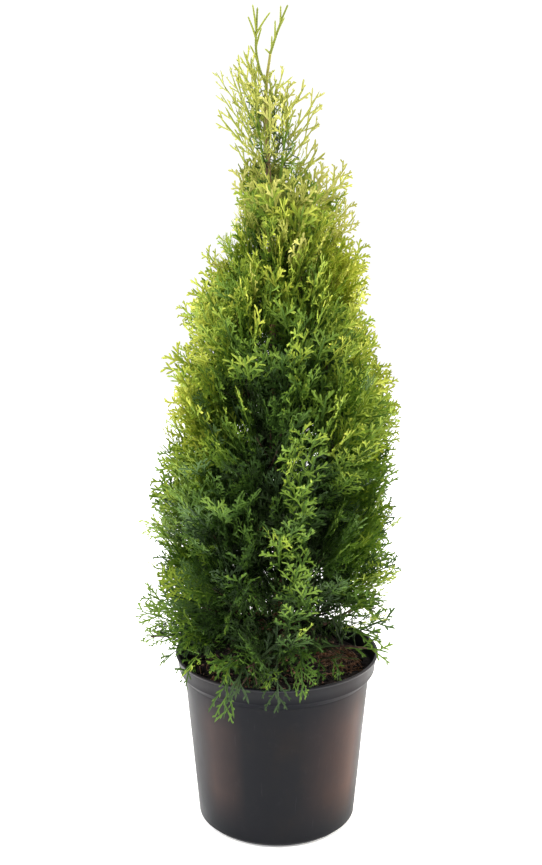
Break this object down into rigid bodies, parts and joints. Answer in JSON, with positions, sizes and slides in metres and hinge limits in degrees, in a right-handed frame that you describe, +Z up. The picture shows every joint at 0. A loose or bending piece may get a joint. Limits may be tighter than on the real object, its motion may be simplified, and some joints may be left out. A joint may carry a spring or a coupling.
{
  "type": "potted thuja",
  "caption": "Young columnar evergreen with flat scale-leaf sprays in a round plastic nursery pot of soil, for a patio or garden scene.",
  "frame": {"origin": "middle of the pot's flat underside, on the surface that it stands on", "axes": "+Z up along the trunk, -Y to the front, +X to the right as seen from the front"},
  "size_m": [0.3536, 0.3499, 1.098],
  "materials": {
    "pot_plastic": "satin dark grey polypropylene, dusty and lightly scuffed",
    "potting_soil": "moist dark peat and bark crumbs with brown plant litter",
    "bark": "reddish-brown bark in thin upright strips",
    "foliage_shade": "deep green scale leaves with a slight wax sheen",
    "foliage_green": "mid green scale leaves with yellow-green tips",
    "foliage_light": "yellow-green young scale leaves"
  },
  "bodies": {
    "root": {"leader_foliage": "foliage_light", "low_bough_1": "bark", "low_bough_2": "bark", "low_bough_3": "bark", "low_bough_4": "bark", "low_bough_5": "bark", "low_bough_6": "bark", "low_foliage_1": "foliage_shade", "low_foliage_2": "foliage_shade", "low_foliage_3": "foliage_shade", "low_foliage_4": "foliage_shade", "low_foliage_5": "foliage_shade", "low_foliage_6": "foliage_shade", "middle_bough_1": "bark", "middle_bough_2": "bark", "middle_bough_3": "bark", "middle_bough_4": "bark", "middle_bough_5": "bark", "middle_bough_6": "bark", "middle_foliage_1": "foliage_green", "middle_foliage_2": "foliage_green", "middle_foliage_3": "foliage_green", "middle_foliage_4": "foliage_green", "middle_foliage_5": "foliage_green", "middle_foliage_6": "foliage_green", "neck_foliage_1": "foliage_light", "neck_foliage_2": "foliage_light", "neck_foliage_3": "foliage_light", "pot": "pot_plastic", "shoulder_foliage_1": "foliage_light", "shoulder_foliage_2": "foliage_light", "shoulder_foliage_3": "foliage_light", "shoulder_foliage_4": "foliage_light", "side_leader_foliage": "foliage_light", "skirt_foliage_1": "foliage_shade", "skirt_foliage_2": "foliage_shade", "skirt_foliage_3": "foliage_shade", "skirt_foliage_4": "foliage_shade", "skirt_foliage_5": "foliage_shade", "skirt_foliage_6": "foliage_shade", "soil": "potting_soil", "trunk": "bark", "upper_bough_1": "bark", "upper_bough_2": "bark", "upper_bough_3": "bark", "upper_bough_4": "bark", "upper_bough_5": "bark", "upper_foliage_1": "foliage_green", "upper_foliage_2": "foliage_green", "upper_foliage_3": "foliage_green", "upper_foliage_4": "foliage_green", "upper_foliage_5": "foliage_green"}
  },
  "joints": []
}
